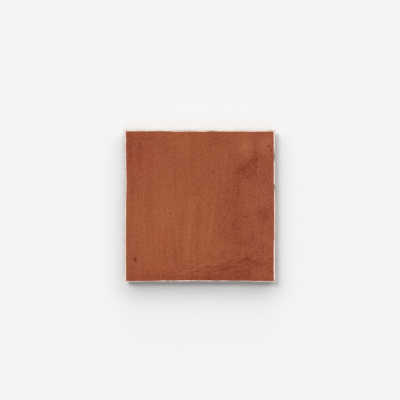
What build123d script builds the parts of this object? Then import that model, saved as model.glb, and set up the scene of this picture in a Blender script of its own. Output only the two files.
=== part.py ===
"""A square porcelain tile with a hand-made look: one pressed and fired piece.

The tile lies on its back, face up. Its four sides wander a little, as a hand-cut edge does, and draw in
towards the back as they leave the mould. The face rolls gently and is eased over at its border, and the
back is keyed with a grid of shallow pockets between ribs, which grip the adhesive.

Millimetres, +Z up. The origin is the middle of the back, on the plane of the ribs. +X runs to the right
across the face and +Y runs to the top of it.
"""

from build123d import *
import os
from math import cos, pi, radians, sin, tan

# Body
tile_width = 99.6  # along X, over the proudest points of the left and right sides
tile_length = 100.4  # along Y, over the proudest points of the front and back sides
tile_thickness = 10.0  # from the ribs of the back to the mean level of the face

# Sides
draft_angle = 5.0  # degrees that each side leans in towards the back
face_corner = 0.3  # radius of the corners of the face, inside its rounded rim
back_chamfer = 0.6  # width and height of the bevel round the back

# How far each side falls short of its straight line, at even steps from corner to corner.
# The sides follow one another counter-clockwise as seen from above.
front_wander = [0.1, 0.2, 0.3, 0.2, 0.3, 0.3, 0.4, 0.2, 0.0]
right_wander = [0.1, 0.1, 0.2, 0.1, 0.0, 0.2, 0.3, 0.3, 0.2]
rear_wander = [0.1, 0.2, 0.1, 0.2, 0.1, 0.2, 0.2, 0.1, 0.0]
left_wander = [0.1, 0.1, 0.3, 0.4, 0.1, 0.1, 0.0, 0.1, 0.1]

# Face
rim_radius = 0.6  # the rounded edge between the face and the sides
roll_height = 0.2  # how far the face rises and sinks about its mean level
roll_span_x = 64.0  # length of one roll across the face
roll_span_y = 88.0  # length of one roll up the face
roll_turn_x = 35.0  # degrees by which the rolls are shifted across the face
roll_turn_y = -25.0  # degrees by which the rolls are shifted up the face
face_steps = 16  # spans along each side of the grid that the face is drawn through
face_margin = 3.0  # how far that grid reaches past the sides
face_fit = 0.005  # how close the surface keeps to the points of the grid

# Back
key_count = 6  # pockets along each side of the grid
key_border = 5.0  # flat margin between the bevel of the back and the outer pockets
key_rib = 2.5  # width of the ribs between pockets
key_depth = 0.8
key_draft = 30.0  # degrees that the walls of a pocket lean, so that the punch leaves cleanly

# What follows from these
draft_slope = tan(radians(draft_angle))
corner_radius = face_corner + rim_radius  # of the outline, seen from above
shoulder_height = tile_thickness - rim_radius  # where the sides are as wide as the tile
trim_height = tile_thickness + roll_height + rim_radius  # the blank is this tall before its face is cut
back_inset = draft_slope * shoulder_height + back_chamfer


def outline(height, inset):
    """The wandering outline of the tile at a height, with each side moved in by inset."""
    half_width = tile_width / 2 - inset
    half_length = tile_length / 2 - inset
    corners = [
        Vector(-half_width + left_wander[-1], -half_length + front_wander[0]),
        Vector(half_width - right_wander[0], -half_length + front_wander[-1]),
        Vector(half_width - right_wander[-1], half_length - rear_wander[0]),
        Vector(-half_width + left_wander[0], half_length - rear_wander[-1]),
    ]
    straight = [
        (front_wander, Vector(1, 0), Vector(0, 1), -half_length),
        (right_wander, Vector(0, 1), Vector(-1, 0), -half_width),
        (rear_wander, Vector(-1, 0), Vector(0, -1), -half_length),
        (left_wander, Vector(0, -1), Vector(1, 0), -half_width),
    ]
    edges = []
    for side, (wander, along, inward, line) in enumerate(straight):
        start = corners[side].dot(along) + corner_radius
        finish = corners[(side + 1) % 4].dot(along) - corner_radius
        step = (finish - start) / (len(wander) - 1)
        points = [along * (start + step * i) + inward * (line + short) for i, short in enumerate(wander)]
        edges.append(Spline(*points, tangents=[along, along]))
    for side, (_, along, _, _) in enumerate(straight):
        next_side = edges[(side + 1) % 4]
        edges.append(TangentArc(edges[side] @ 1, next_side @ 0, tangent=along))
    return Pos(0, 0, height) * make_face(edges)


def face_height(x, y):
    """Height of the face: its mean level and a slow roll, a sine across it times a cosine up it."""
    roll_x = sin(2 * pi * x / roll_span_x + radians(roll_turn_x))
    roll_y = cos(2 * pi * y / roll_span_y + radians(roll_turn_y))
    return tile_thickness + roll_height * roll_x * roll_y


def make_blank():
    """The tile before its face and back are worked: drafted sides with a bevel round the back."""
    return loft(
        [
            outline(0, back_inset),
            outline(back_chamfer, draft_slope * (shoulder_height - back_chamfer)),
            outline(trim_height, draft_slope * (shoulder_height - trim_height)),
        ],
        ruled=True,
    )


def stations(half):
    """Even grid lines from just outside one side to just outside the other."""
    reach = half + face_margin
    return [reach * (2 * i / face_steps - 1) for i in range(face_steps + 1)]


def make_face_cutter():
    """The clay above the face: the rolling surface, raised until it clears the blank."""
    grid = [
        [Vector(x, y, face_height(x, y)) for x in stations(tile_width / 2)]
        for y in stations(tile_length / 2)
    ]
    face = Face.make_surface_from_array_of_points(grid, tol=face_fit)
    return extrude(face, amount=tile_thickness, dir=(0, 0, 1))


def make_back_keys():
    """The grid of shallow pockets that fills the back inside its border."""
    across = tile_width - 2 * (back_inset + key_border)
    along = tile_length - 2 * (back_inset + key_border)
    pitch_x = (across + key_rib) / key_count
    pitch_y = (along + key_rib) / key_count
    mouth = Rectangle(pitch_x - key_rib, pitch_y - key_rib)
    pocket = extrude(mouth, amount=key_depth, taper=key_draft)
    return GridLocations(pitch_x, pitch_y, key_count, key_count) * pocket


tile = make_blank() - make_face_cutter()
tile = fillet(tile.faces().sort_by(Axis.Z)[-1].edges(), rim_radius)
tile -= make_back_keys()

os.makedirs("parts", exist_ok=True)
export_step(tile, "parts/tile.step")
print("tile volume", round(tile.volume), "mm3, box", tile.bounding_box().size)
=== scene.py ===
# %% [markdown]
# A square terracotta tile, pressed and fired in porcelain
#
# The tile is one fired piece: a pale body with a thin matt skin of terracotta colour on its face. The
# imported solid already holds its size, its wandering sides, its rolling face and its keyed back. This
# lesson dresses that solid with a finer surface: an uneven rim, brushed streaks, pits and fired colour.
# Every surface is worked out with numpy as whole arrays, because a tile is mostly one large sheet of
# small heights, and an array of heights is the plainest way to write that down.

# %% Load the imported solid
import bpy
import numpy as np
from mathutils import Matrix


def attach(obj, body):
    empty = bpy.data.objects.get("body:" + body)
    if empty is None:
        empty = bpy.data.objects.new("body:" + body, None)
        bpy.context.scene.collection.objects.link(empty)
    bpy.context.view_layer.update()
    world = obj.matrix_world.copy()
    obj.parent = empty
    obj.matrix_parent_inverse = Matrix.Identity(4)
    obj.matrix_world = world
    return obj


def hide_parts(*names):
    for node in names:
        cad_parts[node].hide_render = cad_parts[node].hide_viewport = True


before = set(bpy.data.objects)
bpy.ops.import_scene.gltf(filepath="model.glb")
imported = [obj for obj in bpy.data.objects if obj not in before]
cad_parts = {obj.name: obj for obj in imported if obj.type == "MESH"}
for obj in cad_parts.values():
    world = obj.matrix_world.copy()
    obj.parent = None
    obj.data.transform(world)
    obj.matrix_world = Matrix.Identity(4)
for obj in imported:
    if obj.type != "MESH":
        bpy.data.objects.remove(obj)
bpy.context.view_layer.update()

MM = 0.001

# %% [markdown]
# Stations round a square
#
# Rim, sides and back all run round the tile, so they share one set of columns. A column is named by its
# station on a square that reaches from -1 to 1: the station counts from 0 at the front left corner,
# through 2, 4 and 6 at the next corners, back to 8. A point of the tile then has a station and a reach,
# which is how far out it lies compared with the square. On a straight side the reach stays 1, so joining
# measured points by straight lines loses nothing. The angle of a circle would bend every side instead.

# %% Columns and stations
half_size = np.array([99.6, 100.4]) / 2  # mm, the nominal width and length of the solid
face_cells = 248  # cells along each side of the face


def station_of(square):
    """Station of points on the unit square: front 0 to 2, right 2 to 4, rear 4 to 6, left 6 to 8."""
    s, t = square[..., 0], square[..., 1]
    front_or_rear = np.where(t < 0, 1 + s, 5 - s)
    right_or_left = np.where(s > 0, 3 + t, 7 - t)
    return np.where(np.abs(t) >= np.abs(s), front_or_rear, right_or_left) % 8


def square_at(station):
    """Point of the unit square at a station: each coordinate is a triangle wave, clipped to -1 and 1."""
    s = np.clip(2 - np.abs((station + 1) % 8 - 4), -1, 1)
    t = np.clip(2 - np.abs((station - 1) % 8 - 4), -1, 1)
    return np.stack([s, t], axis=-1)


stations = np.arange(4 * face_cells) * 2 / face_cells
columns = square_at(stations)
print("columns", len(columns), "with corners at", columns[::face_cells].tolist())

# %% [markdown]
# The outline, measured from the solid
#
# The sides of a pressed tile follow its mould, and these wander by a few tenths of a millimetre. The
# outline could be typed in again, but the solid already holds it, so it is measured: a level plane cuts
# the triangles of the solid, and each cut point gives the reach at one station. Two cuts, high and low on
# the sides, also give the lean that lets the tile leave its mould.

# %% Cut the solid at a height
cut_high = 8.5  # mm, just under the rounded rim
cut_low = 1.0  # mm, just over the bevel of the back
back_field = 0.93  # reach beyond which a cut belongs to the outline, not to a pocket of the back


def solid_edges(node):
    """Start and end of every triangle edge of a node, in millimetres."""
    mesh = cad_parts[node].data
    points = np.empty(3 * len(mesh.vertices))
    mesh.vertices.foreach_get("co", points)
    order = np.empty(len(mesh.loops), dtype=np.int64)
    mesh.loops.foreach_get("vertex_index", order)
    corners = points.reshape(-1, 3)[order].reshape(-1, 3, 3) / MM
    return corners.reshape(-1, 3), np.roll(corners, -1, axis=1).reshape(-1, 3)


def reach_at(height):
    """Reach of the solid at every station: its edges cut by a level plane, joined by straight lines."""
    start, end = solid_edges("tile")
    crossing = (start[:, 2] > height) != (end[:, 2] > height)
    start, end = start[crossing], end[crossing]
    share = (height - start[:, 2:]) / (end[:, 2:] - start[:, 2:])
    square = (start + share * (end - start))[:, :2] / half_size
    reach = np.abs(square).max(axis=1)
    outer = reach > back_field
    station = station_of(square[outer] / reach[outer, None])
    return np.interp(stations, station, reach[outer], period=8)


reach_high = reach_at(cut_high)
reach_low = reach_at(cut_low)
lean = (reach_high - reach_low) / (cut_high - cut_low)
print("reach high", reach_high.min().round(4), "to", reach_high.max().round(4))
print("lean of the sides", (lean.mean() * half_size.mean()).round(3), "mm for each mm of height")

# %% [markdown]
# Seeded unevenness
#
# Nothing on a hand-made tile is quite even. Two small noises give that: one over the face and one round
# the sides. Each puts seeded random values on a lattice and blends between them with an eased weight, so
# every run gives the same tile. Blender's own noise textures would do for colour, but heights have to be
# in the mesh. Most marks mix a coarse and a fine noise, so they are written as short lists of layers.

# %% Two noises
lattice_size = 256
round_length = 400.0  # mm, about the length of the outline


def ease(share):
    """An S-shaped weight: three times the square less two times the cube."""
    return share * share * (3 - 2 * share)


def fade_in(value, start, length):
    """An eased rise from 0 to 1 over a length, from a start."""
    return ease(np.clip((value - start) / length, 0, 1))


def sheet_noise(x, y, wide, tall, seed):
    """Noise from -1 to 1 over the face: lattice values, blended along x and then along y."""
    lattice = np.random.default_rng(seed).uniform(-1, 1, (lattice_size, lattice_size))
    u = x / wide + lattice_size / 2
    v = y / tall + lattice_size / 2
    i, j = np.floor(u).astype(int), np.floor(v).astype(int)
    across, along = ease(u - i), ease(v - j)
    i, j = i % lattice_size, j % lattice_size
    next_i, next_j = (i + 1) % lattice_size, (j + 1) % lattice_size
    near = lattice[i, j] * (1 - across) + lattice[next_i, j] * across
    far = lattice[i, next_j] * (1 - across) + lattice[next_i, next_j] * across
    return near * (1 - along) + far * along


def round_noise(cell, seed):
    """Noise from -1 to 1 round the tile: values at even steps, blended, the last joined to the first."""
    steps = round(round_length / cell)
    values = np.random.default_rng(seed).uniform(-1, 1, steps)
    place = stations / 8 * steps
    i = np.floor(place).astype(int)
    share = ease(place - i)
    return values[i % steps] * (1 - share) + values[(i + 1) % steps] * share


def sheet_layers(x, y, layers):
    """Sum of noises over the face: a layer is an amount, a cell's width and height in mm, and a seed."""
    return sum(amount * sheet_noise(x, y, wide, tall, seed) for amount, wide, tall, seed in layers)


def round_layers(layers):
    """Sum of noises round the tile: a layer is an amount, a cell's length in mm, and a seed."""
    return sum(amount * round_noise(cell, seed) for amount, cell, seed in layers)


print("noise round the tile", round_noise(5.0, 1).std().round(3))

# %% [markdown]
# The rim
#
# The edge between face and side is rounded by wear and by the mould, and no two centimetres of it are
# alike. A profile carried along the outline gives it: a quarter of an ellipse whose width and height
# wander round the tile. The pale body shows along this rim, in a band whose width is given at a
# few stations, and where the band is narrow the edge is sharper. The sides also fall short of the solid
# here and there by a tenth or two, never past it, so that the tile keeps its size.

# %% Rim sizes round the tile
# station round the tile, mm of pale body that shows there, seen from above
pale_places = [
    (0.05, 0.42),
    (0.40, 0.46),
    (0.55, 0.66),
    (0.95, 0.78),
    (1.15, 0.58),
    (1.40, 0.50),
    (1.60, 0.46),
    (1.76, 0.36),
    (1.95, 0.55),
    (2.05, 1.00),
    (2.40, 1.02),
    (2.55, 0.77),
    (3.00, 0.90),
    (3.60, 0.82),
    (3.95, 1.02),
    (4.60, 1.02),
    (4.83, 0.74),
    (4.97, 1.08),
    (5.30, 1.04),
    (5.44, 0.66),
    (5.58, 0.80),
    (5.95, 0.95),
    (6.05, 0.85),
    (6.45, 0.85),
    (6.55, 0.92),
    (6.88, 0.94),
    (6.98, 0.86),
    (7.95, 0.84),
]
rim_share = 0.5  # part of the pale band that lies on the rounded edge
rim_width_layers = [(0.05, 9.0, 11), (0.05, 2.4, 12)]
rim_mean_height = 0.55  # mm
rim_height_layers = [(0.08, 7.0, 13), (0.06, 2.0, 14)]
nibble_mean = 0.08  # mm
nibble_layers = [(0.04, 4.4, 15), (0.04, 1.3, 16)]

pale_width = np.interp(stations, *np.transpose(pale_places), period=8)
rim_width = rim_share * pale_width + round_layers(rim_width_layers)
rim_height = rim_mean_height + round_layers(rim_height_layers)
nibble = nibble_mean + round_layers(nibble_layers)
print("rim width mm", rim_width.min().round(2), "to", rim_width.max().round(2))
print("sides short by mm", nibble.min().round(2), "to", nibble.max().round(2))


def plan_ring(height, inset):
    """Plan of a ring: each column pushed out to the leaning side at a height, less an inset in mm."""
    reach = reach_low + lean * (height - cut_low)
    return columns * (half_size * reach[:, None] - np.reshape(inset + nibble, (-1, 1)))


# %% [markdown]
# The plan of the face
#
# The face is a sheet of square cells inside the rim. Its four edges wander, so a plain grid would not
# meet them. A Coons patch does: it blends the front and rear edges, blends the left and right edges, adds
# the two and takes away the blend of the four corners, which was counted twice.

# %% Lay the face between its edges
mean_level = 9.95  # mm, height of the face, a hair under the solid's to leave room for its marks
crest = plan_ring(mean_level - rim_height, rim_width)


def ring_edges(ring):
    """The front, right, rear and left edges of what is carried round a ring, each from its low end."""
    closed = np.concatenate([ring, ring[:1]])
    starts = face_cells * np.arange(4)
    front, right, rear, left = (closed[start : start + face_cells + 1] for start in starts)
    return front, right, rear[::-1], left[::-1]


def coons_patch(ring):
    """Grid of plan points inside a ring: the sum of two edge blends, less the blend of the corners."""
    front, right, rear, left = ring_edges(ring)
    u = np.linspace(0, 1, face_cells + 1)[:, None, None]
    v = np.linspace(0, 1, face_cells + 1)[None, :, None]
    along_y = (1 - v) * front[:, None] + v * rear[:, None]
    along_x = (1 - u) * left[None] + u * right[None]
    corners = (1 - u) * ((1 - v) * front[0] + v * rear[0]) + u * ((1 - v) * front[-1] + v * rear[-1])
    return along_y + along_x - corners


face_plan = coons_patch(crest)
face_x, face_y = face_plan[..., 0], face_plan[..., 1]
print("face cell mm", (np.ptp(face_x[:, face_cells // 2]) / face_cells).round(3))

# %% [markdown]
# Relief of the face
#
# The slow roll is the one of the solid. On it lie the marks of making: soft lumps from the press, upright
# streaks where the coat was brushed on, and drag marks low on the face, where the slip was pulled up to
# the right before it set. All are heights in millimetres, so they are simply added.

# %% Roll, lumps and brushed streaks
roll_height = 0.2  # mm, as in the solid
roll_span = (64.0, 88.0)  # mm
roll_turn = np.radians([35.0, -25.0])
lump_layers = [(0.05, 12.0, 15.0, 25), (0.02, 4.5, 5.0, 26)]  # amounts in mm
brush_sway = [(0.8, 26.0, 30.0, 21)]  # amount in mm
streak_layers = [(1 / 3, 4.6, 58.0, 22), (1 / 3, 1.6, 30.0, 23), (1 / 3, 0.85, 18.0, 24)]


def rolled(x, y):
    """The solid's slow roll: a sine across the face times a cosine up it."""
    across = np.sin(2 * np.pi * x / roll_span[0] + roll_turn[0])
    up = np.cos(2 * np.pi * y / roll_span[1] + roll_turn[1])
    return roll_height * across * up


def brushed(x, y):
    """Upright streaks from -1 to 1: noises with cells many times taller than wide, swaying a little."""
    return sheet_layers(x + sheet_layers(x, y, brush_sway), y, streak_layers)


lumps = sheet_layers(face_x, face_y, lump_layers)
streaks = brushed(face_x, face_y)
print("streak spread", streaks.std().round(3))

# %% Drag marks
drag_line = -44.0  # mm, where the dragged slip starts low on the face
drag_rise = 11.0  # mm that its upper limit climbs
drag_from, drag_to = -24.0, 38.0  # mm across, between which it climbs
drag_end = 46.0  # mm across, where the marks have faded out
drag_fade = 14.0  # mm over which they fade in on the left and out on the right
drag_middle = 1.0  # mm under the limit, where they are strongest
drag_reach = 5.0  # mm over which they fade away from there
drag_layers = [(2 / 3, 5.0, 0.8, 31), (1 / 3, 2.4, 0.55, 32)]


def under_drag_line(x, y):
    """Distance under the limit of the dragged slip, which climbs to the right on an S-shaped curve."""
    return drag_line + drag_rise * fade_in(x, drag_from, drag_to - drag_from) - y


def dragged(x, y):
    """Drag marks from -1 to 1: noise in long low cells, bent along the limit and faded away from it."""
    under = under_drag_line(x, y)
    near = np.exp(-(((under - drag_middle) / drag_reach) ** 2))
    inside = fade_in(x, drag_from, drag_fade) * (1 - fade_in(x, drag_end - drag_fade, drag_fade))
    return sheet_layers(x, under, drag_layers) * near * inside


drags = dragged(face_x, face_y)
print("drag marks", drags.min().round(2), "to", drags.max().round(2))

# %% [markdown]
# Pits
#
# Gas leaves pinholes in the skin as it fires, and a few grains leave larger ones. The ones that catch the
# eye are listed one by one, in millimetres from the middle of the tile, and a seeded scatter fills in the
# rest. A pit is a steep-sided bell: the exponential of minus the cube of the distance.

# %% Choose the pits
# across, up, length, width, turn in degrees, depth
chosen_pits = [
    (-42.6, -35.5, 1.50, 0.95, -52, 0.22),
    (-19.3, -5.0, 0.80, 0.65, 20, 0.15),
    (-24.9, -0.3, 0.60, 0.55, 0, 0.09),
    (-23.6, -10.3, 0.65, 0.50, 70, 0.10),
    (-45.7, -19.1, 0.60, 0.50, 0, 0.10),
    (-43.2, -19.8, 0.70, 0.50, 30, 0.12),
    (-3.3, -25.7, 0.60, 0.50, 60, 0.10),
    (8.4, -25.5, 0.70, 0.55, 40, 0.10),
    (15.7, 40.2, 0.60, 0.50, 0, 0.10),
    (34.1, 5.8, 0.60, 0.50, 0, 0.09),
    (38.6, 5.1, 0.60, 0.50, 45, 0.09),
    (45.6, 39.2, 1.00, 0.55, -50, 0.20),
    (47.0, 36.4, 0.90, 0.50, -60, 0.18),
    (44.5, 39.8, 0.70, 0.50, 30, 0.12),
    (30.8, -34.2, 0.70, 0.50, 20, 0.10),
    (36.0, -37.5, 0.80, 0.50, 30, 0.10),
    (40.0, -40.7, 0.60, 0.50, 0, 0.09),
]
pinhole_count = 120
pinhole_field = 48.0  # mm from the middle, within which they lie
pinhole_least, pinhole_spread = 0.28, 0.34  # mm, the shortest, and how much longer the longest are
pinhole_narrow = 0.7  # least width as a share of the length
pinhole_deep = 0.15  # depth as a share of the length
pinhole_rng = np.random.default_rng(41)


def scattered_pits():
    """Seeded pinholes: even places, with small sizes more common than large ones."""
    across = pinhole_rng.uniform(-pinhole_field, pinhole_field, pinhole_count)
    up = pinhole_rng.uniform(-pinhole_field, pinhole_field, pinhole_count)
    length = pinhole_least + pinhole_spread * pinhole_rng.random(pinhole_count) ** 3
    width = length * pinhole_rng.uniform(pinhole_narrow, 1.0, pinhole_count)
    turn = pinhole_rng.uniform(0, 180, pinhole_count)
    return np.stack([across, up, length, width, turn, pinhole_deep * length], axis=1)


all_pits = chosen_pits + scattered_pits().tolist()
print("pits", len(all_pits))

# %% Dig the pits
def squared_distance(x, y, across, up, reach_x, reach_y, turn):
    """Squared distance from a spot in its own frame: turned, and stretched so that its reach is 1."""
    c, s = np.cos(np.radians(turn)), np.sin(np.radians(turn))
    along = (c * (x - across) + s * (y - up)) / reach_x
    beside = (c * (y - up) - s * (x - across)) / reach_y
    return along**2 + beside**2


def pitted(x, y, pits):
    """Depth of all pits: the sum of steep bells, each turned and stretched."""
    depth = np.zeros_like(x)
    for *place, deep in pits:
        depth += deep * np.exp(-(squared_distance(x, y, *place) ** 1.5))
    return depth


pits = pitted(face_x, face_y, all_pits)
print("deepest pit mm", pits.max().round(2))

# %% Add up the face
streak_height = 0.014  # mm
drag_height = 0.02  # mm
grain_layers = [(0.006, 0.9, 1.1, 27), (0.006, 2.0, 2.4, 33)]  # amounts in mm
relief = lumps + streak_height * streaks + drag_height * drags - pits
relief += sheet_layers(face_x, face_y, grain_layers)
face_z = mean_level + rolled(face_x, face_y) + relief
print("face height mm", face_z.min().round(2), "to", face_z.max().round(2))

# %% [markdown]
# Broad tone
#
# The skin is not one colour. It is lighter and tanner left of the middle, and darker and redder to the
# right, with a few smudges and with warmer patches where the fire was hotter.
# These are soft spots: bells listed one by one, stretched and turned. Their sums go to the mesh as three
# attributes, tone, redness and warmth. The material turns those numbers into colour, so the finish can be
# changed without touching the spots.

# %% Place the soft spots
# across, up, reach across, reach up, turn in degrees, how much lighter
tone_spots = [
    (-18.0, -4.0, 30.0, 34.0, 0, 0.30),
    (-8.0, -21.0, 2.4, 13.0, -3, 0.46),
    (3.0, -26.0, 2.2, 12.0, -5, 0.24),
    (-14.5, -32.0, 3.0, 11.0, 0, -0.20),
    (7.6, -10.0, 1.4, 16.0, -9, 0.42),
    (4.6, -14.0, 1.0, 14.0, -9, -0.16),
    (-11.0, 41.5, 4.6, 9.5, 0, 0.44),
    (29.5, 40.0, 4.6, 5.4, 0, 0.60),
    (43.0, 41.0, 3.8, 6.0, 0, 0.84),
    (42.3, 34.6, 2.8, 3.2, 0, 0.24),
    (-43.0, 37.0, 11.0, 14.0, 0, -0.44),
    (-35.5, 32.0, 3.2, 16.0, 0, 0.20),
    (26.5, 23.0, 4.4, 3.4, 20, -0.30),
    (32.0, 27.5, 8.0, 3.2, 40, -0.44),
    (38.5, 31.5, 2.8, 2.8, 0, -0.30),
    (33.0, 21.0, 5.0, 6.0, 0, -0.40),
    (25.2, 12.0, 1.0, 6.0, 0, -0.26),
    (28.2, 14.0, 0.8, 3.5, 0, 0.30),
    (19.0, -4.0, 8.0, 30.0, 0, -0.24),
    (24.0, -14.0, 4.5, 5.0, 0, -0.20),
    (28.0, -24.0, 4.0, 3.5, 20, -0.30),
    (42.0, -4.5, 5.0, 4.0, 40, -0.36),
    (30.3, -7.0, 1.6, 1.4, 0, -0.25),
    (36.0, -14.0, 9.0, 1.6, 36, 0.14),
    (42.0, -14.0, 3.0, 1.6, 30, 0.26),
    (14.0, -27.0, 7.0, 2.6, 12, 0.30),
    (38.0, -4.0, 14.0, 40.0, 0, -0.18),
    (0.0, -41.5, 4.0, 3.2, 0, -0.28),
    (19.0, -41.5, 6.0, 2.6, 10, -0.20),
    (32.0, -33.5, 9.0, 2.8, 12, -0.26),
    (-10.0, -48.0, 40.0, 2.6, 0, -0.36),
    (-30.0, -45.0, 14.0, 4.0, 0, -0.30),
    (46.0, 37.0, 1.6, 3.0, 0, -0.30),
    (-42.5, 11.0, 5.0, 14.0, 0, -0.30),
    (-24.0, -27.0, 7.0, 8.0, 0, -0.16),
    (4.5, 39.5, 4.0, 8.0, 0, -0.16),
    (13.0, 44.0, 9.0, 4.5, 0, -0.20),
    (42.0, 6.5, 5.4, 8.0, 0, 0.26),
    (36.0, -20.0, 4.0, 11.0, 0, -0.20),
    (41.0, -20.0, 2.6, 6.0, 0, 0.24),
]


def soft_spots(x, y, spots):
    """Sum of bells: each is the exponential of minus the squared distance, in its own stretched frame."""
    total = np.zeros_like(x)
    for *place, amount in spots:
        total += amount * np.exp(-squared_distance(x, y, *place))
    return total


broad_tone = soft_spots(face_x, face_y, tone_spots)
print("broad tone", broad_tone.min().round(2), "to", broad_tone.max().round(2))

# %% Tone of the fired skin
wedge_depth = 4.0  # mm under the limit of the dragged slip, where its dark is full
wedge_left, wedge_left_fade = -12.0, 18.0  # mm across, where it starts, and over which it comes in
wedge_right, wedge_right_fade = 33.0, 12.0  # mm across, where it weakens, and over which it does so
wedge_right_loss = 0.7  # how much of it goes there
# how much the wedge, the streaks, the drag marks and the clouds shift the tone
wedge_dark = 0.38
streak_tone = 0.36
drag_tone = 0.75
cloud_layers = [(0.09, 6.0, 8.0, 28), (0.05, 2.6, 3.4, 29)]


def slip_wedge(x, y):
    """Dark of the dragged slip: full a little under its limit, and fading out to left and right."""
    under = fade_in(under_drag_line(x, y), 0, wedge_depth)
    from_left = fade_in(x, wedge_left, wedge_left_fade)
    return under * from_left * (1 - wedge_right_loss * fade_in(x, wedge_right, wedge_right_fade))


tone = broad_tone - wedge_dark * slip_wedge(face_x, face_y)
tone += sheet_layers(face_x, face_y, cloud_layers) + streak_tone * streaks + drag_tone * drags
print("tone", tone.min().round(2), "to", tone.max().round(2))

# %% Redness of the fired skin
# across, up, reach across, reach up, turn in degrees, how much redder
red_spots = [
    (42.0, -2.0, 15.0, 56.0, 0, 0.90),
    (33.0, 22.0, 7.0, 8.0, 0, 0.40),
    (-38.0, 30.0, 20.0, 18.0, 0, 0.50),
    (6.0, 22.0, 10.0, 8.0, 0, 0.30),
    (-42.0, -38.0, 10.0, 5.0, 0, 0.30),
]
red_layers = [(0.15, 14.0, 14.0, 30)]
redness = soft_spots(face_x, face_y, red_spots) + sheet_layers(face_x, face_y, red_layers)
redness = np.clip(redness, 0, 1)
print("redness", redness.mean().round(2))

# %% Warm patches
# across, up, reach across, reach up, turn in degrees, how much warmer
warm_spots = [
    (-33.0, 29.0, 20.0, 22.0, 0, 1.0),
    (-1.0, 23.5, 17.0, 9.0, 0, 0.8),
    (-23.5, -20.0, 8.0, 11.0, 0, 0.9),
    (-29.0, -41.0, 24.0, 9.0, 0, 1.0),
    (12.0, -45.5, 20.0, 4.0, 0, 0.6),
]
warm_layers = [(0.2, 7.0, 9.0, 34)]
warmth = soft_spots(face_x, face_y, warm_spots) + sheet_layers(face_x, face_y, warm_layers)
warmth = np.clip(warmth, 0, 1)
print("warmth", warmth.mean().round(2))

# %% [markdown]
# Where the colour stops
#
# The skin doesn't reach the very edge: it stops on a ragged line about a millimetre in, and the pale body
# shows along the rim. The distance to that line is kept on the mesh as an attribute named cover, in
# millimetres, positive on the skin. The material can then sharpen or fray the line at a finer scale than
# the mesh has.

# %% Distance to the colour line
ragged_layers = [(0.06, 6.0, 51), (0.05, 1.9, 52), (0.04, 0.9, 53)]  # amounts in mm
colour_line = pale_width - rim_width + round_layers(ragged_layers)


def edge_distances():
    """Distance of the face's points from its left, right, front and rear edges, in millimetres."""
    from_left, from_right = face_x - face_x[:1], face_x[-1:] - face_x
    from_front, from_rear = face_y - face_y[:, :1], face_y[:, -1:] - face_y
    return np.stack([from_left, from_right, from_front, from_rear])


def spread_in(ring):
    """A value carried round the ring, spread straight in from the left, right, front and rear edges."""
    front, right, rear, left = ring_edges(ring)
    return np.stack(np.broadcast_arrays(left[None, :], right[None, :], front[:, None], rear[:, None]))


past_line = edge_distances() - spread_in(colour_line)
cover = past_line.min(axis=0)
print("skin on the face", (cover > 0).mean().round(3))

# %% [markdown]
# Rubbed, raw and painted shade
#
# The bare band along the rim is rubbed pale, but not everywhere: here and there it is as dull as the
# raw clay of the sides, and where its edge dips in that dull grey is painted shade. A flat pale line would
# look drawn on, so an attribute goes from 0, rubbed pale, to 1, the grey-beige of raw clay. It is a
# little noise with some dull places listed one by one, and on the face each point takes it from the edge
# that is nearest.

# %% Dull places on the rim
# station round the tile, reach in stations, how dull the rim is there; some are painted shade where the
# edge dips in
dull_and_shaded_places = [
    (0.36, 0.09, 0.6),
    (0.565, 0.025, 0.7),
    (0.66, 0.035, 0.75),
    (0.89, 0.02, 0.4),
    (0.98, 0.035, 0.7),
    (1.20, 0.05, 0.6),
    (1.36, 0.02, 0.4),
    (1.52, 0.07, 0.5),
    (3.25, 0.04, 1.0),
    (3.66, 0.07, 1.0),
    (4.06, 0.03, 0.4),
    (5.00, 0.90, 0.3),
    (5.22, 0.10, 0.2),
    (5.53, 0.04, 0.3),
    (6.60, 0.12, 0.25),
    (6.80, 0.12, 0.25),
]
# some dull places are painted shade, greying the rim where its edge dips in
dull_rim_layers = [(0.10, 5.0, 54), (0.10, 1.4, 55)]
rim_dull_and_shade = round_layers(dull_rim_layers)
for station, reach, dull in dull_and_shaded_places:
    rim_dull_and_shade += dull * np.exp(-(((stations - station) / reach) ** 2))
rim_dull_and_shade = np.clip(rim_dull_and_shade, 0, 1)
nearest_edge = past_line.argmin(axis=0)[None]
face_dull_and_shade = np.take_along_axis(spread_in(rim_dull_and_shade), nearest_edge, axis=0)[0]
print("dull part of the rim", (rim_dull_and_shade > 0.5).mean().round(2))

# %% [markdown]
# Sewing the tile together
#
# The face, the rim, the sides and the back become one closed mesh, as they are one fired piece. Each is
# laid down as a block of points that get their numbers as they arrive, and strips of faces are sewn
# between neighbouring rings. Separate meshes would be simpler, but they would leave seams along the rim,
# which is where the eye goes first.

# %% A store for points and faces
points, quads, triangles = [], [], []
# the last attribute is 1 on the raw clay of the sides, and where it rises on the rim it is painted shade
skin = {"cover": [], "tone": [], "redness": [], "warmth": [], "pit": [], "raw_and_shade": []}
bare_cover = -3.0  # mm, well outside the colour line


def lay(block, cover=bare_cover, tone=0.0, redness=0.0, warmth=0.0, pit=0.0, raw_and_shade=1.0):
    """Adds a block of points with what the skin is there, and gives their numbers in the block's shape."""
    first = sum(len(part) for part in points)
    points.append(block.reshape(-1, 3))
    shape = block.shape[:-1]
    for name, value in zip(skin, (cover, tone, redness, warmth, pit, raw_and_shade)):
        skin[name].append(np.broadcast_to(value, shape).ravel())
    return first + np.arange(np.prod(shape)).reshape(shape)


def sew(upper, lower):
    """Faces between two rings with the same columns."""
    quads.append(np.stack([upper, lower, np.roll(lower, -1), np.roll(upper, -1)], axis=-1))


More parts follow.
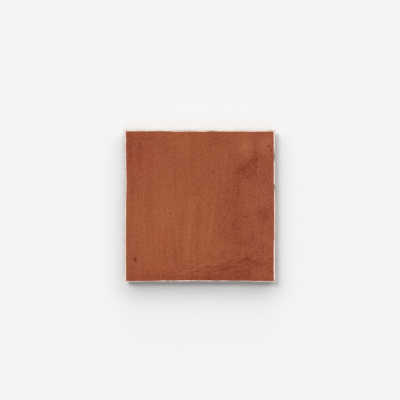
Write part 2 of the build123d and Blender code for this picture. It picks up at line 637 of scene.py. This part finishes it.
def sew_to_half(upper, lower):
    """Faces between a ring and one with half its columns: three triangles for each lower column."""
    start, middle, end = upper[0::2], upper[1::2], np.roll(upper[0::2], -1)
    after = np.roll(lower, -1)
    triangles.append(np.stack([start, lower, middle], axis=-1))
    triangles.append(np.stack([middle, lower, after], axis=-1))
    triangles.append(np.stack([middle, after, end], axis=-1))


def sheet_faces(grid):
    """Faces of a grid of points, facing up."""
    return np.stack([grid[:-1, :-1], grid[1:, :-1], grid[1:, 1:], grid[:-1, 1:]], axis=-1).reshape(-1, 4)


def border_of(grid):
    """The border of a grid as a ring: front, right, rear and left."""
    return np.concatenate([grid[:-1, 0], grid[-1, :-1], grid[:0:-1, -1], grid[0, :0:-1]])


face = lay(np.dstack([face_x, face_y, face_z]), cover, tone, redness, warmth, pits, face_dull_and_shade)
quads.append(sheet_faces(face))
print("face quads", len(quads[0]))

# %% [markdown]
# Rim and sides
#
# The rim is swept ring by ring over the quarter ellipse. Part of the way over the roll the rubbed part
# ends on an uneven line and the grey-beige of the raw clay takes over; there it is painted shade, which
# draws a dark line at the foot of the pale rim as seen from above. The sides drop in a few more rings
# with half as many points, because they are plainer.

# %% Roll the rim over
rim_steps = 8
rubbed_mean = 38.0  # degrees over the roll at which the rubbed part gives way to the raw colour, painted shade at the foot of the rim
rubbed_layers = [(14.0, 7.0, 56), (12.0, 1.8, 57)]  # amounts in degrees
foot_shade_within = 30.0  # degrees over which it does so
foot_shade_from = rubbed_mean + round_layers(rubbed_layers) - foot_shade_within / 2
crest_height = border_of(face_z)
crest_skin = [border_of(part) for part in (tone, redness, warmth)]
shoulder_height = crest_height - rim_height
last_ring = border_of(face)
for turn in np.linspace(0, np.pi / 2, rim_steps + 1)[1:]:
    out = rim_width * np.sin(turn)
    height = crest_height - rim_height * (1 - np.cos(turn))
    plan = plan_ring(mean_level - rim_height, rim_width - out)
    # painted shade: part of the way over the roll the rim turns grey-beige, a dark line at the foot of the
    # pale rim seen from above
    raw_and_shade = np.maximum(rim_dull_and_shade, fade_in(np.degrees(turn), foot_shade_from, foot_shade_within))
    ring = lay(np.column_stack([plan, height]), -out - colour_line, *crest_skin, raw_and_shade=raw_and_shade)
    sew(last_ring, ring)
    last_ring = ring
print("rim rings", rim_steps, "of", len(last_ring), "points")

# %% Drop the sides and bevel the back edge
side_steps = 9
side_ripple = 0.05  # mm, how unevenly the mould left the sides
ripple_cell = 5.0  # mm
ripple_seed = 60  # each ring adds its own number to it
bevel = 0.6  # mm, as in the solid
bevel_rings = [(0.62, 0.22), (1.0, bevel)]  # share of the drop, mm moved in: a slightly rounded bevel

for step in range(1, side_steps + 1):
    share = step / side_steps
    height = shoulder_height * (1 - share) + bevel * share
    ripple = side_ripple * (1 + round_noise(ripple_cell, ripple_seed + step)) * np.sin(np.pi * share)
    ring = lay(np.column_stack([plan_ring(height, ripple), height])[::2])
    if step == 1:
        sew_to_half(last_ring, ring)
    else:
        sew(last_ring, ring)
    last_ring = ring

for drop, inset in bevel_rings:
    height = np.full(len(columns), bevel * (1 - drop))
    ring = lay(np.column_stack([plan_ring(height, inset), height])[::2])
    sew(last_ring, ring)
    last_ring = ring
print("sides end on", len(last_ring), "points at height", points[-1][:, 2].max())

# %% [markdown]
# The keyed back
#
# The back carries a grid of shallow pockets for the adhesive to grip. It is a height field like the face,
# but with lines placed by hand: close together on the walls of the pockets and wide apart between them,
# so that the walls come out straight. The depth of a pocket is its distance in from a rounded rectangle,
# turned into a slope and stopped at the floor.

# %% Lines of the back
# sizes of the solid, in mm and degrees
key_count = 6
key_border = 5.0
key_rib = 2.5
key_depth = 0.8
key_draft = 30.0
draft_angle = 5.0
draft_height = 9.4
# sizes of the finer grid
key_corner = 1.2  # mm, rounding of the pockets seen from below
back_margin = 1.2  # mm, flat rim of the grid outside the outer pockets
floor_lines = 13  # lines over the floor of a pocket
floor_ease = 0.6  # how much closer they lie near its walls
quarters = np.array([0.25, 0.5, 0.75, 1.0])

key_slope = np.tan(np.radians(key_draft))
back_inset = np.tan(np.radians(draft_angle)) * draft_height + bevel
pocket_field = half_size - back_inset - key_border
pitch = (2 * pocket_field + key_rib) / key_count
mouth = pitch - key_rib


def back_lines(axis):
    """Lines across the back: for each pocket a rib, a wall, an eased run over the floor, and a wall."""
    wall = key_depth * key_slope
    run = np.linspace(0, 1, floor_lines)
    run = (1 - floor_ease) * run + floor_ease * ease(run)
    floor = wall + (mouth[axis] - 2 * wall) * run
    one_pocket = np.concatenate([[0, wall / 2], floor, [mouth[axis] - wall / 2, mouth[axis]]])
    rib = mouth[axis] + key_rib * quarters[:-1]
    starts = -pocket_field[axis] + pitch[axis] * np.arange(key_count)
    lines = (starts[:, None] + np.concatenate([one_pocket, rib])).ravel()[: -len(rib)]
    edge = pocket_field[axis] + back_margin * quarters
    return np.concatenate([-edge[::-1], lines, edge])


back_x, back_y = np.meshgrid(back_lines(0), back_lines(1), indexing="ij")
print("back lines", back_x.shape, "for rings of", len(last_ring))

# %% Press the pockets
back_grain = 0.02  # mm high
back_grain_cell = 2.2  # mm across
back_grain_seed = 71
field_slack = 0.01  # mm, so that the outermost lines of the pockets count as inside


def pocket_depth(x, y):
    """Depth over the back: distance in from a rounded rectangle, over the slope, up to the floor."""
    across = np.abs((x + pocket_field[0] + key_rib / 2) % pitch[0] - pitch[0] / 2) - mouth[0] / 2
    along = np.abs((y + pocket_field[1] + key_rib / 2) % pitch[1] - pitch[1] / 2) - mouth[1] / 2
    corner = np.hypot(np.maximum(across + key_corner, 0), np.maximum(along + key_corner, 0))
    inside = np.minimum(np.maximum(across + key_corner, along + key_corner), 0)
    distance_in = key_corner - corner - inside
    in_x = np.abs(x) < pocket_field[0] + field_slack
    in_y = np.abs(y) < pocket_field[1] + field_slack
    return np.where(in_x & in_y, np.clip(distance_in / key_slope, 0, key_depth), 0)


def back_bumps(x, y):
    """Small bumps of the back, never below the plane that it lies on: half of one plus a noise."""
    return back_grain * (1 + sheet_noise(x, y, back_grain_cell, back_grain_cell, back_grain_seed)) / 2


back_z = pocket_depth(back_x, back_y) + back_bumps(back_x, back_y)
print("deepest pocket mm", back_z.max().round(3))

# %% Sew the back in
border_shares = (0.4, 0.75)  # where two more rings lie, from the bevel to the grid of the back
outer_plan = points[-1][:, :2]
inner_plan = border_of(np.dstack([back_x, back_y]))
back = lay(np.dstack([back_x, back_y, back_z]))
quads.append(sheet_faces(back)[:, ::-1])
for share in border_shares:
    plan = outer_plan * (1 - share) + inner_plan * share
    ring = lay(np.column_stack([plan, back_bumps(plan[:, 0], plan[:, 1])]))
    sew(last_ring, ring)
    last_ring = ring
sew(last_ring, border_of(back))
print("back quads", len(sheet_faces(back)))

# %% Make the mesh
vertices = np.concatenate(points) * MM
corner_lists = [part.reshape(-1, 4) for part in quads] + [part.reshape(-1, 3) for part in triangles]
corner_numbers = np.concatenate([part.ravel() for part in corner_lists])
corner_counts = np.concatenate([np.full(len(part), part.shape[1]) for part in corner_lists])
corner_starts = np.concatenate([[0], np.cumsum(corner_counts)[:-1]])

mesh = bpy.data.meshes.new("fired_tile")
mesh.vertices.add(len(vertices))
mesh.vertices.foreach_set("co", vertices.ravel())
mesh.loops.add(len(corner_numbers))
mesh.loops.foreach_set("vertex_index", corner_numbers)
mesh.polygons.add(len(corner_counts))
mesh.polygons.foreach_set("loop_start", corner_starts)
mesh.polygons.foreach_set("use_smooth", np.ones(len(corner_counts), dtype=bool))
mesh.update(calc_edges=True)
for name, parts in skin.items():
    attribute = mesh.attributes.new(name, "FLOAT", "POINT")
    attribute.data.foreach_set("value", np.concatenate(parts))
print("mesh is sound", not mesh.validate(), "triangles", (corner_counts - 2).sum())

tile = bpy.data.objects.new("fired_tile", mesh)
bpy.context.scene.collection.objects.link(tile)
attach(tile, "root")
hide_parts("tile")

# %% [markdown]
# Fired grain
#
# Fired clay looks grainy close up: a cloudy mottle with small specks. The skin and the bare body both
# have it, at different sizes, so it is a node group with its sizes as inputs, built once and placed twice.

# %% Helpers for nodes
def add_node(tree, kind, inputs=(), **settings):
    """Adds a node: settings are its own properties, and inputs are values or links by name or number."""
    made = tree.nodes.new(kind)
    for name, value in settings.items():
        setattr(made, name, value)
    for name, value in dict(inputs).items():
        if isinstance(value, bpy.types.NodeSocket):
            tree.links.new(value, made.inputs[name])
        else:
            made.inputs[name].default_value = value
    return made


def reckon(tree, operation, first, second, third=0.0):
    """A Math node's result."""
    terms = {0: first, 1: second, 2: third}
    return add_node(tree, "ShaderNodeMath", terms, operation=operation).outputs["Value"]


def rise(tree, value, start, end):
    """A value's way from a start, 0, to an end, 1, by a Map Range node."""
    limits = {"Value": value, "From Min": start, "From Max": end}
    return add_node(tree, "ShaderNodeMapRange", limits).outputs["Result"]


print("node helpers: add_node, reckon and rise")

# %% Build the grain group
cloud_detail = 4.0
cloud_roughness = 0.7
grain_sizes = ("Grain Scale", "Speck Scale", "Speck Reach", "Speck Share")


def build_fired_grain():
    """Node group: a cloudy noise as grain, and the middles of some of the scattered cells as specks."""
    group = bpy.data.node_groups.new("fired_grain", "ShaderNodeTree")
    group.interface.new_socket("Place", in_out="INPUT", socket_type="NodeSocketVector")
    for name in grain_sizes:
        group.interface.new_socket(name, in_out="INPUT", socket_type="NodeSocketFloat")
    for name in ("Grain", "Specks"):
        group.interface.new_socket(name, in_out="OUTPUT", socket_type="NodeSocketFloat")
    given = add_node(group, "NodeGroupInput").outputs
    cloud = {"Vector": given["Place"], "Scale": given["Grain Scale"]}
    cloud.update({"Detail": cloud_detail, "Roughness": cloud_roughness})
    grain = add_node(group, "ShaderNodeTexNoise", cloud).outputs["Fac"]
    scatter = {"Vector": given["Place"], "Scale": given["Speck Scale"]}
    cells = add_node(group, "ShaderNodeTexVoronoi", scatter).outputs
    specks = rise(group, cells["Distance"], given["Speck Reach"], 0.0)
    draw = add_node(group, "ShaderNodeSeparateColor", {"Color": cells["Color"]}).outputs["Red"]
    specks = reckon(group, "MULTIPLY", specks, reckon(group, "LESS_THAN", draw, given["Speck Share"]))
    add_node(group, "NodeGroupOutput", {"Grain": grain, "Specks": specks})
    return group


fired_grain = build_fired_grain()


def place_grain(tree, place, sizes):
    """Places the grain group in a material with its own sizes, and gives its outputs."""
    inputs = {"Place": place, **dict(zip(grain_sizes, sizes))}
    return add_node(tree, "ShaderNodeGroup", inputs, node_tree=fired_grain).outputs


print("group", fired_grain.name, "with", len(fired_grain.nodes), "nodes")

# %% [markdown]
# The fired finish
#
# One material covers the tile, because skin and body meet on a line that runs across the mesh. The tone
# attribute picks a colour from a ramp that goes from deep red-brown to tan, redness pulls it towards plum,
# warmth pulls it towards orange, and pits get painted shade, darker as they go deeper. Where cover falls
# below zero, frayed by the grain, the body takes over: pale where it is rubbed, grey-beige where it is
# raw clay, and grey-beige too as painted shade on the outer roll of the rim and where its edge dips in.

# %% Small helpers for colour
def fired(red, green, blue):
    """Linear colour of a reading from 0 to 255: the standard display curve, undone."""
    display = np.array([red, green, blue]) / 255
    linear = np.where(display <= 0.04045, display / 12.92, ((display + 0.055) / 1.055) ** 2.4)
    return (*linear.tolist(), 1.0)


def mix_colour(tree, share, first, second, blend="MIX"):
    """Blends two colours, each a link or a value; share 0 gives the first and 1 the second."""
    colours = {0: share, 6: first, 7: second}
    return add_node(tree, "ShaderNodeMix", colours, data_type="RGBA", blend_type=blend).outputs[2]


def colour_ramp(tree, share, stops):
    """A ramp through colours, each at its own share."""
    ramp = add_node(tree, "ShaderNodeValToRGB", {"Fac": share})
    elements = ramp.color_ramp.elements
    while len(elements) < len(stops):
        elements.new(1.0)
    for element, (place, value) in zip(elements, stops):
        element.position = place
        element.color = value
    return ramp.outputs["Color"]


print("mid terracotta", [round(v, 3) for v in fired(157, 85, 56)])

# %% Colour the skin
skin_stops = [
    (0.00, fired(125, 48, 23)),
    (0.25, fired(141, 66, 38)),
    (0.50, fired(154, 81, 49)),
    (0.75, fired(163, 91, 56)),
    (1.00, fired(172, 102, 68)),
]
mottle = 1.36  # how strongly the grain shifts the tone
red_mottle = 0.4  # how much more it does so on the redder skin
tone_weight = 0.5  # how much of the ramp one unit of tone is
red_tint = (1.0, 0.97, 1.20, 1.0)
warm_tint = (1.02, 0.95, 0.96, 1.0)
# dark brown of the specks, and painted shade in the pits, which darkens them as they go deeper
speck_brown_and_pit_shade = fired(108, 34, 12)
pit_shallow, pit_deep = 0.02, 0.20  # mm, depths at which the painted shade in a pit starts and is full
skin_speck_strength = 0.4


def skin_colour(tree, read, grain):
    """Colour of the skin: the ramp at the tone plus the grain, then its tints, dark in specks, with
    painted shade in pits.
    """
    strength = reckon(tree, "MULTIPLY_ADD", read["redness"], red_mottle, mottle)
    shade = reckon(tree, "MULTIPLY_ADD", reckon(tree, "SUBTRACT", grain["Grain"], 0.5), strength, 0.5)
    shade = reckon(tree, "MULTIPLY_ADD", read["tone"], tone_weight, shade)
    colour = colour_ramp(tree, shade, skin_stops)
    colour = mix_colour(tree, read["redness"], colour, red_tint, "MULTIPLY")
    colour = mix_colour(tree, read["warmth"], colour, warm_tint, "MULTIPLY")
    specks = reckon(tree, "MULTIPLY", grain["Specks"], skin_speck_strength)
    colour = mix_colour(tree, specks, colour, speck_brown_and_pit_shade)
    # painted shade: the deeper a pit, the darker its colour
    return mix_colour(tree, rise(tree, read["pit"], pit_shallow, pit_deep), colour, speck_brown_and_pit_shade)


print("skin goes from", skin_stops[0][1][:3], "to", skin_stops[-1][1][:3])

# %% Colour the bare body
rubbed_stops = [(0.30, fired(242, 216, 203)), (0.70, fired(255, 238, 228))]
# grey-beige of the raw clay of the sides, also used as painted shade on the outer roll of the rim and at
# its dull places
raw_and_shade_stops = [(0.30, fired(136, 119, 108)), (0.70, fired(170, 152, 139))]
body_speck = fired(112, 92, 80)
body_speck_strength = 0.5


def body_colour(tree, read, grain):
    """Colour of the body: a pale ramp over its grain where rubbed, a darker one where raw clay and where
    it is painted shade, with specks.
    """
    rubbed = colour_ramp(tree, grain["Grain"], rubbed_stops)
    raw_and_shade = colour_ramp(tree, grain["Grain"], raw_and_shade_stops)
    colour = mix_colour(tree, read["raw_and_shade"], rubbed, raw_and_shade)
    specks = reckon(tree, "MULTIPLY", grain["Specks"], body_speck_strength)
    return mix_colour(tree, specks, colour, body_speck)


print("body goes from", rubbed_stops[0][1][:3], "to", rubbed_stops[-1][1][:3])

# %% Put the finish together
fray = 0.4  # mm over which the grain pushes the colour line in and out
edge_blur = 0.1  # mm to each side of that line, over which skin and body blend
skin_grain_sizes = (820.0, 420.0, 0.16, 0.3)  # in the order of grain_sizes
body_grain_sizes = (800.0, 700.0, 0.22, 0.6)
upright_grain = (1.0, 0.78, 1.0)  # draws the skin's grain out a little up the face, as the brush did
skin_roughness = 0.68
body_roughness = 0.80
rough_spread = 0.2  # how far the grain spreads the roughness
matt_specular = 0.15
bump_strength = 0.5
bump_height = 0.05 * MM


def terracotta_finish():
    """The whole finish: cover, frayed by the grain, chooses between the skin and the body."""
    material = bpy.data.materials.new("terracotta_porcelain")
    material.use_nodes = True
    tree = material.node_tree
    shader = tree.nodes["Principled BSDF"]
    place = add_node(tree, "ShaderNodeTexCoord").outputs["Object"]
    read = {}
    for name in skin:
        read[name] = add_node(tree, "ShaderNodeAttribute", attribute_name=name).outputs["Fac"]
    stretch = {"Vector": place, "Scale": upright_grain}
    upright = add_node(tree, "ShaderNodeMapping", stretch).outputs["Vector"]
    skin_grain = place_grain(tree, upright, skin_grain_sizes)
    body_grain = place_grain(tree, place, body_grain_sizes)

    frayed = reckon(tree, "MULTIPLY_ADD", body_grain["Grain"], fray, -fray / 2)
    frayed = reckon(tree, "ADD", read["cover"], frayed)
    on_skin = rise(tree, frayed, -edge_blur, edge_blur)
    bare = body_colour(tree, read, body_grain)
    colour = mix_colour(tree, on_skin, bare, skin_colour(tree, read, skin_grain))
    tree.links.new(colour, shader.inputs["Base Color"])

    least_rough = body_roughness - rough_spread / 2
    uneven = reckon(tree, "MULTIPLY_ADD", skin_grain["Grain"], rough_spread, least_rough)
    rough = reckon(tree, "MULTIPLY_ADD", on_skin, skin_roughness - body_roughness, uneven)
    tree.links.new(rough, shader.inputs["Roughness"])
    shader.inputs["Specular IOR Level"].default_value = matt_specular

    height = reckon(tree, "SUBTRACT", skin_grain["Grain"], skin_grain["Specks"])
    grit = {"Height": height, "Strength": bump_strength, "Distance": bump_height}
    tree.links.new(add_node(tree, "ShaderNodeBump", grit).outputs["Normal"], shader.inputs["Normal"])
    return material


mesh.materials.append(terracotta_finish())
print("finish", mesh.materials[0].name, "with", len(mesh.materials[0].node_tree.nodes), "nodes")

# %% [markdown]
# Floor, light and camera
#
# The tile lies on a pale floor under soft light. Overhead lamps give the tight dark shadow at its foot,
# windows on the left, the right and the far side stretch softer ones outwards and towards the viewer, and
# a weak fill comes from the near side. One large lamp would give one width of shadow only, so each of
# these is a sun with its own height and the disc that its softness needs. Together with the world they
# light a level surface at a plain level, at which a colour renders as it is written. The camera looks
# straight down from far away, because from near by the walls of the tile would show past its rim.

# %% Lay the floor
floor_half = 2.0  # m
floor_grey = 0.905
floor_gap = 0.02 * MM  # keeps the floor and the ribs of the back apart
floor_square = [(-1, -1), (1, -1), (1, 1), (-1, 1)]
floor_corners = [(x * floor_half, y * floor_half, -floor_gap) for x, y in floor_square]
floor_mesh = bpy.data.meshes.new("floor")
floor_mesh.from_pydata(floor_corners, [], [(0, 1, 2, 3)])
floor = bpy.data.objects.new("floor", floor_mesh)
bpy.context.scene.collection.objects.link(floor)
floor_finish = bpy.data.materials.new("pale_floor")
floor_finish.use_nodes = True
floor_shader = floor_finish.node_tree.nodes["Principled BSDF"]
floor_shader.inputs["Base Color"].default_value = (floor_grey, floor_grey, floor_grey, 1.0)
floor_shader.inputs["Roughness"].default_value = 1.0
floor_shader.inputs["Specular IOR Level"].default_value = 0.0
floor_mesh.materials.append(floor_finish)
print("floor", 2 * floor_half, "m across")

# %% Hang the lights
# name, tilt to the left, tilt to the far side, disc in degrees, share of the light
suns = [
    ("left_window", 40.0, 40.0, 40.0, 0.16),
    ("right_window", -40.0, 40.0, 40.0, 0.14),
    ("far_window", 0.0, 66.0, 40.0, 0.12),
    ("left_overhead", 18.0, 18.0, 16.0, 0.18),
    ("high_overhead", 12.0, 14.0, 12.0, 0.08),
    ("right_overhead", -11.0, -11.0, 11.0, 0.08),
    ("near_fill", 0.0, -35.0, 36.0, 0.05),
]
world_share = 0.19


def hang_sun(name, left, far, disc, share):
    """A sun that gives a level floor its share: the share times pi, over the cosine of the sun's tilt."""
    towards = np.array([-np.tan(np.radians(left)), np.tan(np.radians(far)), 1.0])
    towards /= np.linalg.norm(towards)
    lamp = bpy.data.lights.new(name, "SUN")
    lamp.energy = share * np.pi / towards[2]
    lamp.angle = np.radians(disc)
    sun = bpy.data.objects.new(name, lamp)
    sun.rotation_euler = (-np.arcsin(towards[1]), np.arctan2(towards[0], towards[2]), 0.0)
    bpy.context.scene.collection.objects.link(sun)
    return lamp.energy


for sun in suns:
    print(sun[0], "strength", round(hang_sun(*sun), 3))

# %% Light the surroundings
def light_world(share, seen_grey):
    """A world that lights with a share and that camera, mirror and glass rays see as the floor's grey."""
    world = bpy.data.worlds.new("surroundings")
    world.use_nodes = True
    tree = world.node_tree
    rays = add_node(tree, "ShaderNodeLightPath").outputs
    seen = reckon(tree, "MAXIMUM", rays["Is Camera Ray"], rays["Is Glossy Ray"])
    seen = reckon(tree, "MAXIMUM", seen, rays["Is Transmission Ray"])
    strength = reckon(tree, "MULTIPLY_ADD", seen, seen_grey - share, share)
    tree.links.new(strength, tree.nodes["Background"].inputs["Strength"])
    tree.nodes["Background"].inputs["Color"].default_value = (1.0, 1.0, 1.0, 1.0)
    return world


scene = bpy.context.scene
scene.world = light_world(world_share, floor_grey)
scene.view_settings.view_transform = "Standard"
print("light in all", round(world_share + sum(sun[4] for sun in suns), 3))

# %% Set the camera
lens = 300.0  # mm
sensor = 36.0  # mm
seen_width = 263.4 * MM  # what the square picture takes in at the level of the face
seen_middle = (0.0, 3.9 * MM)  # the tile sits a little under the middle of the picture
camera_data = bpy.data.cameras.new("camera")
camera_data.lens = lens
camera_data.sensor_width = sensor
camera = bpy.data.objects.new("camera", camera_data)
camera.location = (*seen_middle, mean_level * MM + seen_width * lens / sensor)
scene.collection.objects.link(camera)
scene.camera = camera
print("camera height mm", round(camera.location.z / MM, 1))
